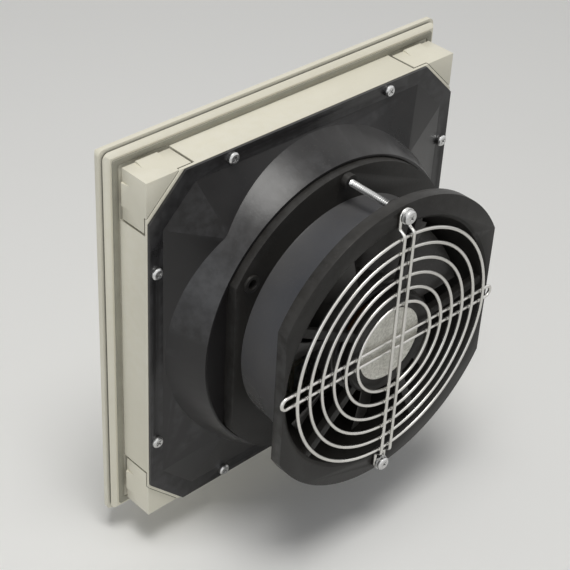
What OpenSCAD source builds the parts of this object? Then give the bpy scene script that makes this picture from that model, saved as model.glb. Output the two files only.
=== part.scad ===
// Enclosure filter fan: a plug-in frame with a louvred cover and filter mat in front,
// and a square-to-round cowl that carries a guarded axial fan behind.
// The origin is the centre of the flange face that lies on the panel.
// +Y points to the fan, -Y to the louvres, +Z up.

/* [Frame] */
// Width and height of the shell that goes through the cut-out
shell_w = 223; // [215:1:235]
// Depth of the shell behind the panel
shell_depth = 22; // [21:0.5:26]
// Thickness of the shell's walls
shell_wall = 2.5; // [2:0.1:3]
// Width of the ledge around the shell that lies on the panel
ledge_w = 5.6; // [5.4:0.1:7]
// Width and depth of the bevel around the flange
flange_bevel = 2.6; // [1.6:0.1:3]
// Thickness of the flange, bevel and neck together
flange_t = 3.6; // [3.4:0.1:4.6]
// Distance from each corner of the shell to its latch slits
latch_side = 31.8; // [28:0.1:36]
// Width of each latch slit
slit_w = 1.5; // [1.4:0.1:2]
// Distance from each corner of the shell to the slanting wall inside it
corner_wall_in = 28.7; // [27:0.1:31]
// Distance from each corner of the shell to the edge of its rear web
corner_web_in = 15.2; // [14:0.1:16]
// Height of the tray that holds the filter mat
tray_h = 5.4; // [4:0.1:6]

/* [Panel gasket] */
// Width of the foam strip
gasket_w = 3.4; // [2.8:0.1:3.5]
// Thickness of the foam strip
gasket_t = 1.8; // [1.4:0.1:2.2]
// Depth of the strip's groove in the flange
groove_d = 1.2; // [0.8:0.1:1.4]

/* [Latches] */
// Gap between a latch and the face that lies on the panel
latch_gap = 2.3; // [2:0.1:2.8]
// How far a snap lip stands out of the shell
lip_out = 1.2; // [0.8:0.1:1.4]
// Length of each snap lip
lip_len = 14; // [8:0.5:16]
// Thickness of a latch's rear web
latch_web_t = 2; // [1.6:0.1:2.4]

/* [Louvre cover] */
// How far the cover stands out in front of the panel
cover_out = 17; // [16:0.1:20]
// How far the cover reaches beyond the flange
cover_over = 1.5; // [0.6:0.1:3]
// Room between the mat's tray and the cover's walls
cover_room = 1.7; // [1.4:0.1:2.4]
// Depth of the cover's straight edge
cover_edge = 3; // [2:0.1:3.4]
// Width of the bevel around the cover's front
cover_bevel = 9.2; // [7:0.1:10]
// Width of the plain border between the cover's walls and its slats
louvre_border = 9.5; // [8.5:0.1:14]
// Distance from one slat to the next
slat_pitch = 8; // [7:0.5:10]
// Thickness of a slat
slat_t = 1.6; // [1.2:0.1:2]
// Width of an upright between the slats
mullion_w = 3; // [2:0.1:4]

/* [Filter mat] */
// Thickness of the filter mat
mat_t = 9; // [7:0.1:9.2]
// Number of cells across the support grid
grid_cells = 10; // [9:1:14]
// Width of a rib of the support grid
grid_rib = 1.8; // [1.4:0.1:2.4]
// Thickness of the support grid
grid_t = 2.8; // [2:0.1:3]

/* [Cowl] */
// Thickness of the cowl's rim plate
rim_t = 1.5; // [1.2:0.1:2]
// Distance from each corner of the shell to the rim plate's cut corner
rim_cut_in = 17.1; // [16.8:0.1:18.6]
// Width of the flat rim along the sides
slope_in = 9; // [8.6:0.1:10]
// Distance from each corner of the shell to where the sloping corners begin
slope_corner_in = 27.7; // [26.8:0.1:29]
// Rise of the sloping sides for each unit inwards
slope_share = 0.3; // [0.25:0.01:0.34]
// Distance from the panel face to the collar's floor, on which the fan sits
collar_y = 43.5; // [42:0.1:46]
// How far the collar reaches beyond the fan's flange
collar_over = 2; // [1.8:0.1:3]
// Height of the collar's lip around the fan
collar_lip = 2; // [1:0.1:2.6]
// Thickness of the cowl's walls
cowl_wall = 2; // [1.6:0.1:2.4]
// Distance of each rim screw from the shell's corner, along its side
rim_screw_in = 54.5; // [46:0.5:60]

/* [Fan housing] */
// Overall depth of the fan
fan_depth = 49; // [48:0.1:52]
// Radius of the round flanges
fan_flange_r = 89.8; // [88:0.1:90]
// How much the front flange's flats take off its radius
front_flat_in = 13.8; // [12:0.1:14.6]
// How much the rear flange's flats take off its radius
rear_flat_in = 10.8; // [8:0.1:11]
// Thickness of each flange
fan_flange_t = 7; // [6:0.1:7.5]
// Distance from the flange's edge to the air passage around the blades
bore_in = 21.3; // [20.8:0.1:21.8]
// Distance from the flange's edge to the air passage at the outlet
outlet_in = 13.3; // [13.3:0.1:14.3]
// Thickness of the tube's wall
tube_wall = 2.4; // [1.8:0.1:2.4]
// Distance of each long screw from the flange's edge
long_screw_in = 5.3; // [5:0.1:5.6]
// Radius of the motor's base plate
base_r = 31; // [29.5:0.1:32]
// Number of struts that carry the motor
strut_count = 5; // [3:1:6]
// Width of a strut
strut_w = 5; // [4:0.1:7]

/* [Motor and impeller] */
// Radius of the shaft
shaft_r = 2.5; // [2.3:0.1:2.8]
// Outer radius of the rotor can
can_r = 31; // [30.5:0.1:31.5]
// Number of blades
blade_count = 7; // [5:1:8]
// Gap between the blade tips and the air passage
tip_gap = 1.2; // [0.9:0.1:2.5]
// Chord of a blade at the hub
root_chord = 28; // [24:0.5:30]
// Chord of a blade at the tip
tip_chord = 45; // [40:0.5:47]
// Thickness of a blade
blade_t = 1.7; // [1.4:0.1:2.2]
// Blade angle at the hub, from the plane of rotation
root_angle = 48; // [40:1:52]
// Blade angle at the tip, from the plane of rotation
tip_angle = 29; // [25:1:32]

/* [Finger guard] */
// Radius of the guard's wire
wire_r = 1; // [0.8:0.05:1.2]
// Number of rings
ring_count = 6; // [5:1:6]
// How much smaller the outermost ring is than the outlet
ring_in = 4.5; // [3.6:0.1:6]
// Distance from one ring to the next
ring_pitch = 8.8; // [8:0.1:9]
// Distance between the two wires of an arm
arm_gap = 7; // [6.6:0.1:7.6]
// How far each side arm reaches beyond the outlet
side_arm_out = 5.7; // [4:0.1:7.5]

/* [Hidden] */
$fn = 96;
// One overrun for all cuts, and one gap for pieces that lie loosely against each other
cut = 1;
gap = 0.3;
diag = sqrt(2);

// Frame, worked out
shell_half = shell_w / 2;
inner_half = shell_half - shell_wall;
shell_corner = shell_half * diag;
slit_at = shell_half - latch_side;
corner_wall_at = shell_corner - corner_wall_in;
corner_web_at = shell_corner - corner_web_in;
flange_half = shell_half + ledge_w;
flange_wide = flange_half + flange_bevel;
neck_inset = 2.2;
flange_corner_r = 4;
corner_wall_t = 2.2;
web_t = 1.6;
tray_wall = 1.6;
tray_gap = 1.2;
tray_half = inner_half + tray_gap;
tray_corner_r = 3;
shelf_w = 2.5;
shelf_t = 2;
grid_front = -flange_t;
grid_rear = grid_front + grid_t;
grid_border = 3;
mat_gap = 0.4;
rear_y = shell_depth;

// Screws that hold the cowl to the frame
rim_screw_edge = 4.7;
rim_screw_off = shell_half - rim_screw_edge;
rim_screw_at = shell_half - rim_screw_in;
boss_r = 4.2;
boss_len = 14;
thread_r = 1.45;
screw_fit = 0.05;
screw_len = 12;
screw_head_r = 3.4;
screw_head_h = 2.2;
head_bevel = 0.8;
recess_w = 0.8;
recess_len = 3.6;
recess_d = 1;
rim_hole_r = 1.8;

// Hinge of the cover: two steel pins in bosses at the flange's lower edge
hinge_y = -3.1;
hinge_in = 1.2;
hinge_z = -(flange_wide - hinge_in);
hinge_at = 70;
pin_r = 0.9;
pin_fit = 0.05;
ear_r = 2.1;
ear_w = 7.4;
hinge_boss_r = 1.9;
hinge_boss_w = 5;
pin_short = 1;
pin_len = ear_w + 2 * (gap + hinge_boss_w - pin_short);

// Gasket in its groove
gasket_start = 0.8;
gasket_in = shell_half + gasket_start;
gasket_fit = 0.1;
gasket_corner_r = 1.5;

// Latches
latch_from = slit_at + slit_w;
latch_clear = 0.4;
web_edge = corner_web_at + latch_clear;
latch_wall_end = rear_y - web_t - 2 * latch_clear;
latch_rear = rear_y - latch_clear;
lip_front = latch_gap + gap;
lip_tip = 0.3;
lip_flat = 1.3;
lip_ramp = 4.8;
lip_mid = (latch_from + shell_half) / 2 + lip_tip;

// Cover
cover_front = -cover_out;
cover_rear = -flange_t - gap;
cover_edge_front = cover_rear - cover_edge;
cover_corner_r = 4;
cover_half = flange_wide + cover_over;
cover_inner = tray_half + tray_wall + cover_room;
louvre_half = cover_inner - louvre_border;
cover_front_t = 3.5;
cover_relief = 0.8;
slat_depth = 3.8;
catch_at = 50;
catch_w = 12;
catch_front = -8.5;
catch_rear = -5;

// Cowl
plate_half = shell_half - gap;
rim_cut_at = shell_corner - rim_cut_in;
slope_half = shell_half - slope_in;
slope_corner_at = shell_corner - slope_corner_in;
collar_r = fan_flange_r + collar_over;
plate_rear = rear_y + rim_t;
collar_top = collar_y + collar_lip;
collar_floor = collar_y - cowl_wall;
collar_fit = 0.6;
cone_in = 0.4;
cone_r = slope_half - cone_in;

// Fan housing
fan_front = collar_y;
front_flat = fan_flange_r - front_flat_in;
rear_flat = fan_flange_r - rear_flat_in;
bore_r = fan_flange_r - bore_in;
outlet_r = fan_flange_r - outlet_in;
long_screw_at = fan_flange_r - long_screw_in;
fan_rear = fan_front + fan_depth;
front_flange_end = fan_front + fan_flange_t;
rear_flange_start = fan_rear - fan_flange_t;
outlet_edge = 1.5;
inlet_edge = 3;
inlet_r = bore_r + inlet_edge;
straight_over = 1.5;
bore_straight_end = front_flange_end + straight_over;
flare_steps = 8;
flare_power_share = 1.7;
hole_r = 2.15;
boss_out_r = 4.5;
front_boss_h = 3.9;
rear_boss_h = 2;
base_sink = 0.8;
base_rear = fan_rear - base_sink;
base_t = 7.2;
base_front = base_rear - base_t;
base_edge = 1.2;
cap_r = 21.5;
cap_t = 1;
cap_recess = 0.6;
strut_sink = 2.4;
strut_rear = fan_rear - strut_sink;
strut_depth = 5.5;
strut_start_angle = 30;
eyelet_angle = 35.5;
eyelet_in = 8.8;
eyelet_at = fan_flange_r - eyelet_in;
eyelet_r = 5;
eyelet_hole_r = 3;
eyelet_h = 1.5;

// Bearings, shaft and stator
bearing_r = 8;
bearing_w = 5;
bearing_fit = 0.02;
tube_r = 10.5;
tube_in = 15;
tube_front = fan_front + tube_in;
seat_d = 5.4;
front_bearing_y = tube_front + seat_d - bearing_w;
shoulder_r = 6.5;
spring_t = 1;
spring_in = 5.6;
rear_seat = 7.5;
spring_gap = 0.2;
rear_shoulder = base_front - rear_seat;
rear_bearing_y = rear_shoulder + spring_t + spring_gap;
shaft_fit = 0.03;
can_wall = 1.5;
can_in = 8.5;
can_clear = 2.6;
can_front = fan_front + can_in;
can_rear = base_front - can_clear;
can_boss_r = 6;
can_boss_h = 3.5;
cage_t = 2.6;
air_gap = 0.4;
core_r = can_r - can_wall - cage_t - air_gap;
core_in = 3.4;
core_len = 14;
core_front = tube_front + core_in;
core_rear = core_front + core_len;
slot_count = 12;
slot_w = 2.6;
yoke = 3.5;
slot_in = tube_r + yoke;
slot_d = 8.4;
coil_gap = 0.2;
coil_over = 6;
coil_side = 0.6;
coil_front = core_front - coil_over;
coil_rear = core_rear + coil_over;
coil_in = slot_in - coil_side;
coil_out = slot_in + slot_d - coil_side;
coil_round = 2.6;
shaft_front = can_front;
shaft_tail = 2.6;
shaft_rear = rear_bearing_y + bearing_w + shaft_tail;
clip_t = 0.8;
clip_r = 4.2;
clip_y = rear_bearing_y + bearing_w + gap;

// Impeller
hub_t = 3;
hub_in = 1;
hub_back = 0.6;
hub_front = can_front + hub_in;
hub_rear = can_rear - hub_back;
tip_r = bore_r - tip_gap;
hub_fit = 0.05;
blade_mid = (hub_front + hub_rear) / 2;
blade_root = can_r + hub_t / 2;
blade_stations = 6;
blade_steps = 7;
camber_share = 0.07;
thinning_share = 3.6;
edge_share = 0.1;
sweep = 4;

// Terminals on the tube, beside the rear flange
terminal_angle = 225;
terminal_w = 16;
terminal_h = 9;
terminal_len = 12;
terminal_sink = 1.6;
tab_w = 2.8;
tab_t = 0.5;
tab_len = 7;
tab_pitch = 7;
tab_root = 2;

// Finger guard and its screws
weld_gap = 0.05;
ring_r = outlet_r - ring_in;
side_arm_end = outlet_r + side_arm_out;
foot_y = fan_rear + wire_r + weld_gap;
ring_y = foot_y + 2 * wire_r + weld_gap;
arm_y = ring_y + 2 * wire_r + weld_gap;
bend_r = 2;
bend_angle = 60;
bend_swell = 0.02;
bend_over = 0.2;
bend_start = ring_r + wire_r + gap;
slope_len = (arm_y - foot_y - 2 * bend_r * (1 - cos(bend_angle))) / sin(bend_angle);
bend_end = bend_start + 2 * bend_r * sin(bend_angle) + slope_len * cos(bend_angle);
loop_r = arm_gap / 2;
long_r = 2;
long_loop_at = long_screw_at - 0.3;
washer_t = 0.8;
washer_r = 4.5;
long_head_r = 4;
long_head_h = 2.8;
nut_r = 4.04;
nut_t = 3.2;
nut_tail = 2;
washer_y = foot_y + wire_r + weld_gap;
head_y = washer_y + washer_t;
nut_y = collar_floor - nut_t;

// Stands a flat outline, drawn in X and Z, between two depths
module along_y(y0, y1) {
    translate([0, y1, 0]) rotate([90, 0, 0]) linear_extrude(y1 - y0) children();
}

// Turns an outline, drawn as radius and depth, around the Y axis
module around_y() {
    rotate([-90, 0, 0]) rotate_extrude() children();
}

// Round bar along Y, at a place in X and Z
module rod_y(r, y0, y1, at = [0, 0]) {
    translate([at[0], y0, at[1]]) rotate([-90, 0, 0]) cylinder(r = r, h = y1 - y0);
}

// Round bar along X, at a place in Y and Z
module rod_x(r, x0, x1, at) {
    translate([x0, at[0], at[1]]) rotate([0, 90, 0]) cylinder(r = r, h = x1 - x0);
}

// Box between two corners
module block(low, high) {
    translate(low) cube(high - low);
}

module centred(half) {
    square([2 * half, 2 * half], center = true);
}

module rounded(half, r) {
    square([2 * half, 2 * (half - r)], center = true);
    square([2 * (half - r), 2 * half], center = true);
    for (x = [-1, 1], z = [-1, 1]) translate([x * (half - r), z * (half - r)]) circle(r);
}

// Square with its corners cut off square to the diagonals
module cut_square(half, corner_at) {
    intersection() {
        centred(half);
        rotate(45) centred(corner_at);
    }
}

// Bar with sloping flanks, drawn as half width and depth, laid across X
module ridge(half0, y0, half1, y1, len) {
    translate([0, 0, -len]) linear_extrude(2 * len)
        polygon([[-half0, y0], [half0, y0], [half1, y1], [-half1, y1]]);
}

// Square block whose four sides slope evenly
module taper_block(half0, y0, half1, y1) {
    wide = 2 * max(half0, half1);
    intersection() {
        ridge(half0, y0, half1, y1, wide);
        rotate([0, 90, 0]) ridge(half0, y0, half1, y1, wide);
    }
}

// Repeats a corner piece in all four corners
module four_corners() {
    for (x = [0, 1], z = [0, 1]) mirror([x, 0, 0]) mirror([0, 0, z]) children();
}

// The eight places of the rim screws
rim_screws = [for (a = [0, 90, 180, 270], s = [-1, 1])
    [rim_screw_off * cos(a) - s * rim_screw_at * sin(a),
     rim_screw_off * sin(a) + s * rim_screw_at * cos(a)]];

module pan_screw(head_r, head_h, shank_r, shank_len) {
    difference() {
        union() {
            around_y() polygon([[0, 0], [head_r, 0], [head_r, head_h - head_bevel],
                [head_r - head_bevel, head_h], [0, head_h]]);
            rod_y(shank_r, -shank_len, 0);
        }
        for (a = [45, 135]) rotate([0, a, 0])
            block([-recess_len / 2, head_h - recess_d, -recess_w / 2],
                  [recess_len / 2, head_h + cut, recess_w / 2]);
    }
}

module flange_plate() {
    intersection() {
        union() {
            taper_block(flange_wide, -flange_bevel, flange_half, 0);
            along_y(-flange_t, -flange_bevel) rounded(flange_wide - neck_inset, flange_corner_r);
        }
        along_y(-flange_t, 0) rounded(flange_wide, flange_corner_r);
    }
}

// Walls between the latch slits, and the slanting walls behind the latches
module shell_walls() {
    along_y(0, rear_y) difference() {
        cut_square(shell_half, corner_wall_at + corner_wall_t);
        cut_square(inner_half, corner_wall_at);
    }
    along_y(0, rear_y) intersection() {
        difference() {
            centred(shell_half);
            centred(inner_half);
        }
        union() {
            square([2 * slit_at, 2 * shell_half], center = true);
            square([2 * shell_half, 2 * slit_at], center = true);
        }
    }
    along_y(rear_y - web_t, rear_y) difference() {
        cut_square(shell_half, corner_web_at);
        cut_square(inner_half, corner_wall_at);
    }
}

module hinge_bosses() {
    for (x = [-hinge_at, hinge_at], s = [-1, 1]) {
        mid = x + s * (ear_w / 2 + gap + hinge_boss_w / 2);
        rod_x(hinge_boss_r, mid - hinge_boss_w / 2, mid + hinge_boss_w / 2, [hinge_y, hinge_z]);
        block([mid - hinge_boss_w / 2, -flange_t, hinge_z],
              [mid + hinge_boss_w / 2, -flange_bevel, hinge_z + ear_r]);
    }
}

module main_frame() {
    color("#d8d4c4") difference() {
        union() {
            difference() {
                flange_plate();
                along_y(-flange_t - cut, cut) cut_square(inner_half, corner_wall_at);
            }
            shell_walls();
            along_y(-flange_t - tray_h, -flange_t + cut) difference() {
                rounded(tray_half + tray_wall, tray_corner_r);
                rounded(tray_half, tray_corner_r - tray_wall);
            }
            along_y(grid_rear, grid_rear + shelf_t) difference() {
                cut_square(inner_half + cut, corner_wall_at + cut);
                cut_square(inner_half - shelf_w, corner_wall_at - shelf_w);
            }
            for (p = rim_screws) intersection() {
                rod_y(boss_r, rear_y - boss_len, rear_y, p);
                along_y(0, rear_y) centred(shell_half);
            }
            hinge_bosses();
        }
        along_y(-groove_d, cut) difference() {
            rounded(gasket_in + gasket_w + gasket_fit, gasket_corner_r);
            rounded(gasket_in - gasket_fit, gasket_corner_r);
        }
        for (p = rim_screws) rod_y(thread_r + screw_fit, rear_y - boss_len + cut, rear_y + cut, p);
        for (x = [-hinge_at, hinge_at]) {
            block([x - ear_w / 2 - gap, -flange_t - tray_h, -flange_wide - cut],
                  [x + ear_w / 2 + gap, cut, hinge_z + ear_r + gap]);
            rod_x(pin_r + pin_fit, x - pin_len / 2, x + pin_len / 2, [hinge_y, hinge_z]);
        }
    }
}

module cover_hinge_pins() {
    color("#b9bcc0") for (x = [-hinge_at, hinge_at])
        rod_x(pin_r, x - pin_len / 2 + gap, x + pin_len / 2 - gap, [hinge_y, hinge_z]);
}

module panel_gasket() {
    color("#8f8d7c") along_y(-groove_d, gasket_t - groove_d) difference() {
        rounded(gasket_in + gasket_w, gasket_corner_r);
        rounded(gasket_in, gasket_corner_r);
    }
}

module support_grid() {
    pitch = (2 * (inner_half - gap - grid_border) + grid_rib) / grid_cells;
    color("#cfcbbb") along_y(grid_front, grid_rear) difference() {
        cut_square(inner_half - gap, corner_wall_at - gap);
        intersection() {
            cut_square(inner_half - gap - grid_border, corner_wall_at - gap - grid_border);
            for (i = [0 : grid_cells - 1], j = [0 : grid_cells - 1])
                translate([(i - (grid_cells - 1) / 2) * pitch, (j - (grid_cells - 1) / 2) * pitch])
                    square(pitch - grid_rib, center = true);
        }
    }
}

module filter_mat() {
    color("#f0f0ec") along_y(-flange_t - mat_t, -flange_t)
        rounded(tray_half - mat_gap, tray_corner_r - tray_wall);
}

// One latch: two tongues that meet at the corner, a rear web and a snap lip on each tongue
module latch() {
    color("#dedac9") {
        along_y(latch_gap, latch_wall_end) difference() {
            translate([latch_from, latch_from]) square(shell_half - latch_from);
            translate([latch_from, latch_from]) square(inner_half - latch_from);
        }
        along_y(latch_wall_end - latch_web_t, latch_rear) difference() {
            translate([latch_from, latch_from]) square(shell_half - latch_from);
            rotate(45) centred(web_edge);
        }
        latch_lip();
        mirror([1, 0, -1]) latch_lip();
    }
}

// Snap lip on the upper tongue: steep towards the panel, with a ramp towards the rear
module latch_lip() {
    translate([lip_mid - lip_len / 2, 0, 0]) rotate([90, 0, 90]) linear_extrude(lip_len)
        polygon([[lip_front, shell_half - lip_tip], [lip_front, shell_half],
            [lip_front + lip_tip, shell_half + lip_out],
            [lip_front + lip_tip + lip_flat, shell_half + lip_out],
            [lip_front + lip_tip + lip_flat + lip_ramp, shell_half],
            [lip_front + lip_tip + lip_flat + lip_ramp, shell_half - lip_tip]]);
}

module latch_top_left() { latch(); }
module latch_top_right() { mirror([1, 0, 0]) latch(); }
module latch_bottom_left() { mirror([0, 0, 1]) latch(); }
module latch_bottom_right() { mirror([1, 0, 0]) mirror([0, 0, 1]) latch(); }

module cover_shell() {
    difference() {
        intersection() {
            union() {
                along_y(cover_edge_front, cover_rear) centred(cover_half);
                taper_block(cover_half - cover_bevel, cover_front, cover_half, cover_edge_front);
            }
            along_y(cover_front, cover_rear) rounded(cover_half, cover_corner_r);
        }
        along_y(cover_front + cover_front_t, cover_rear + cut)
            rounded(cover_inner, tray_corner_r);
        along_y(cover_front - cut, cover_front + cover_front_t + cut) centred(louvre_half);
        block([-cover_half - cut, cover_rear - cover_relief, -cover_half - cut],
              [cover_half + cut, cover_rear + cut, hinge_z + ear_r]);
        for (x = [-hinge_at, hinge_at])
            rod_x(ear_r + gap, x - pin_len / 2 - cut, x + pin_len / 2 + cut, [hinge_y, hinge_z]);
    }
}

module slats() {
    count = floor((2 * louvre_half - slat_t) / slat_pitch);
    for (i = [0 : count - 1]) {
        z = (i - count / 2) * slat_pitch;
        translate([-louvre_half - cut, 0, 0]) rotate([90, 0, 90])
            linear_extrude(2 * louvre_half + 2 * cut)
                polygon([[cover_front, z], [cover_front, z + slat_t],
                    [cover_front + slat_depth, z + slat_t + slat_depth],
                    [cover_front + slat_depth, z + slat_depth]]);
    }
    for (x = [-louvre_half / 2, 0, louvre_half / 2])
        block([x - mullion_w / 2, cover_front + slat_t, -louvre_half - cut],
              [x + mullion_w / 2, cover_front + cover_front_t, louvre_half + cut]);
}

module louvre_cover() {
    color("#dcd8c8") difference() {
        union() {
            cover_shell();
            slats();
            for (x = [-catch_at, catch_at])
                block([x - catch_w / 2, catch_front, tray_half + tray_wall + gap],
                      [x + catch_w / 2, catch_rear, cover_inner + cut]);
            for (x = [-hinge_at, hinge_at]) {
                rod_x(ear_r, x - ear_w / 2, x + ear_w / 2, [hinge_y, hinge_z]);
                block([x - ear_w / 2, cover_rear - cover_edge, -cover_half + cut],
                      [x + ear_w / 2, hinge_y, hinge_z]);
            }
        }
        for (x = [-hinge_at, hinge_at])
            rod_x(pin_r + pin_fit, x - ear_w, x + ear_w, [hinge_y, hinge_z]);
    }
}

// Distance from the axis, at a depth, of a face that lies under a sloping face
function slope_at(top_at, y, under) = top_at + (plate_rear - under - y) / slope_share;

// Eight-sided pyramid of the cowl, or of its hollow, between two depths
module sloping_sides(under, y0, y1) {
    intersection_for (a = [0, 90]) rotate([0, a, 0]) intersection() {
        ridge(slope_at(slope_half, y0, under), y0, slope_at(slope_half, y1, under), y1,
              shell_w);
        rotate([0, 45, 0]) ridge(slope_at(slope_corner_at, y0, under), y0,
              slope_at(slope_corner_at, y1, under), y1, shell_w);
    }
}

module cowl_outside() {
    along_y(rear_y, plate_rear) cut_square(plate_half, rim_cut_at);
    sloping_sides(0, rear_y, collar_y);
    around_y() polygon([[0, rear_y], [cone_r, rear_y], [collar_r, collar_top],
        [0, collar_top]]);
}

module cowl_inside() {
    drop = cowl_wall * sqrt(1 + slope_share * slope_share);
    sloping_sides(drop, rear_y - cut, collar_floor);
    around_y() polygon([[0, rear_y - cut], [cone_r - cowl_wall, rear_y - cut],
        [collar_r - cowl_wall, collar_floor], [0, collar_floor]]);
}

module cowl() {
    color("#1d1d1f") difference() {
        cowl_outside();
        cowl_inside();
        rod_y(inlet_r, collar_floor - cut, collar_top + cut);
        rod_y(fan_flange_r + collar_fit, collar_y, collar_top + cut);
        for (p = rim_screws) rod_y(rim_hole_r, rear_y - cut, plate_rear + cut, p);
        for (z = [-long_screw_at, long_screw_at])
            rod_y(hole_r, collar_floor - cut, collar_y + cut, [0, z]);
    }
}

module cowl_screws() {
    color("#c4c6c8") for (p = rim_screws) translate([p[0], plate_rear, p[1]])
        pan_screw(screw_head_r, screw_head_h, thread_r, screw_len);
}

// Radius of the air passage at a depth behind its straight stretch
function passage_r(y) = bore_r + (outlet_r - bore_r)
    * pow((y - bore_straight_end) / (fan_rear - bore_straight_end), flare_power_share);

// Depths of the flare's steps, up to an end
function flare_depths(end) = [for (i = [0 : flare_steps])
    bore_straight_end + i / flare_steps * (end - bore_straight_end)];

module housing_profile() {
    inside = flare_depths(fan_rear - outlet_edge);
    polygon(concat(
        [[bore_r + inlet_edge, fan_front], [fan_flange_r, fan_front],
         [fan_flange_r, front_flange_end], [bore_r + tube_wall, front_flange_end]],
        [for (y = flare_depths(rear_flange_start)) [passage_r(y) + tube_wall, y]],
        [[fan_flange_r, rear_flange_start], [fan_flange_r, fan_rear],
         [outlet_r + outlet_edge, fan_rear]],
        [for (i = [0 : flare_steps]) let (y = inside[flare_steps - i]) [passage_r(y), y]],
        [[bore_r, fan_front + inlet_edge]]));
}

// Section of a ring between two radii and two depths
module square_ring(r0, r1, y0, y1) {
    translate([r0, y0]) square([r1 - r0, y1 - y0]);
}

module strut(a) {
    rotate([0, -a, 0]) translate([base_r - base_edge - cut, strut_rear - strut_depth, 0])
        rotate([0, 90, 0]) linear_extrude(passage_r(strut_rear) + gap - base_r + base_edge + cut)
            polygon([[-strut_w / 2, strut_depth / 4], [0, 0], [strut_w / 2, strut_depth / 4],
                [strut_w / 2, strut_depth], [-strut_w / 2, strut_depth]]);
}

module bearing_tube() {
    difference() {
        union() {
            around_y() polygon([[0, base_front], [base_r - base_edge, base_front],
                [base_r, base_front + base_edge], [base_r, base_rear - base_edge],
                [base_r - base_edge, base_rear], [0, base_rear]]);
            rod_y(tube_r, tube_front, base_front + cut);
        }
        rod_y(shoulder_r, tube_front - cut, base_rear + cut);
        rod_y(bearing_r + bearing_fit, tube_front - cut, tube_front + seat_d);
        rod_y(bearing_r + bearing_fit, rear_shoulder, base_rear + cut);
        rod_y(cap_r + gap, base_rear - cap_recess, base_rear + cut);
    }
}

module fan_housing() {
    color("#2a2a2c") {
        difference() {
            union() {
                around_y() housing_profile();
                for (z = [-long_screw_at, long_screw_at]) {
                    rod_y(boss_out_r, front_flange_end - cut, front_flange_end + front_boss_h, [0, z]);
                    rod_y(boss_out_r, rear_flange_start - rear_boss_h, rear_flange_start + cut, [0, z]);
                }
                rod_y(eyelet_r, front_flange_end - cut, front_flange_end + eyelet_h, eyelet_place);
            }
            for (s = [-1, 1]) {
                block([min(s * rear_flat, 2 * s * rear_flat), fan_front - cut, -fan_flange_r],
                      [max(s * rear_flat, 2 * s * rear_flat), fan_rear + cut, fan_flange_r]);
                block([min(s * front_flat, 2 * s * front_flat), fan_front - cut, -fan_flange_r],
                      [max(s * front_flat, 2 * s * front_flat), front_flange_end + cut, fan_flange_r]);
            }
            for (z = [-long_screw_at, long_screw_at])
                rod_y(hole_r, fan_front - cut, fan_rear + cut, [0, z]);
            rod_y(eyelet_hole_r, fan_front - cut, front_flange_end + eyelet_h + cut, eyelet_place);
        }
        for (i = [0 : strut_count - 1]) strut(strut_start_angle + i * 360 / strut_count);
        bearing_tube();
    }
}
eyelet_place = [eyelet_at * cos(eyelet_angle), eyelet_at * sin(eyelet_angle)];

module motor_cap() {
    color("#c9cac6") rod_y(cap_r, base_rear - cap_recess, base_rear - cap_recess + cap_t);
}

module stator_core() {
    color("#6d6f72") along_y(core_front, core_rear) difference() {
        circle(core_r);
        circle(tube_r + screw_fit);
        for (i = [0 : slot_count - 1]) rotate(i * 360 / slot_count)
            translate([slot_in, -slot_w / 2]) square([slot_d, slot_w]);
    }
}

// Coil heads in front of and behind the core, joined by the wires in its slots
module stator_windings() {
    color("#b0673a") {
        for (y = [[coil_front, core_front - coil_gap], [core_rear + coil_gap, coil_rear]])
            around_y() polygon([[coil_in, y[0] + coil_round / 2], [coil_in + coil_round, y[0]],
                [coil_out - coil_round, y[0]], [coil_out, y[0] + coil_round / 2],
                [coil_out, y[1] - coil_round / 2], [coil_out - coil_round, y[1]],
                [coil_in + coil_round, y[1]], [coil_in, y[1] - coil_round / 2]]);
        for (i = [0 : slot_count - 1]) rotate([0, i * 360 / slot_count, 0])
            block([slot_in + coil_round, core_front - coil_round, -slot_w / 2 + coil_gap],
                  [slot_in + slot_d - coil_round, core_rear + coil_round, slot_w / 2 - coil_gap]);
    }
}

module bearing(y) {
    color("#b7b9bb") around_y() square_ring(shaft_r + shaft_fit, bearing_r, y, y + bearing_w);
}
module bearing_front() { bearing(front_bearing_y); }
module bearing_rear() { bearing(rear_bearing_y); }

module preload_spring() {
    color("#8d8f92") around_y()
        square_ring(spring_in, bearing_r - screw_fit, rear_shoulder, rear_shoulder + spring_t);
}

module rotor_can() {
    color("#4a4c4f") around_y() polygon([[shaft_r, can_front], [can_r - can_wall, can_front],
        [can_r, can_front + can_wall], [can_r, can_rear], [can_r - can_wall, can_rear],
        [can_r - can_wall, can_front + can_wall], [can_boss_r, can_front + can_wall],
        [can_boss_r, can_front + can_boss_h], [shaft_r, can_front + can_boss_h]]);
}

module rotor_cage() {
    color("#9a9c9e") around_y() square_ring(core_r + air_gap, can_r - can_wall,
        core_front - coil_gap, core_rear + coil_gap);
}

module rotor_shaft() {
    color("#c8cacc") difference() {
        rod_y(shaft_r, shaft_front, shaft_rear);
        around_y() square_ring(shaft_r - clip_t / 2, shaft_r + cut, clip_y, clip_y + clip_t);
    }
}

module shaft_circlip() {
    color("#303234") around_y() square_ring(shaft_r - clip_t / 2, clip_r, clip_y, clip_y + clip_t);
}

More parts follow.
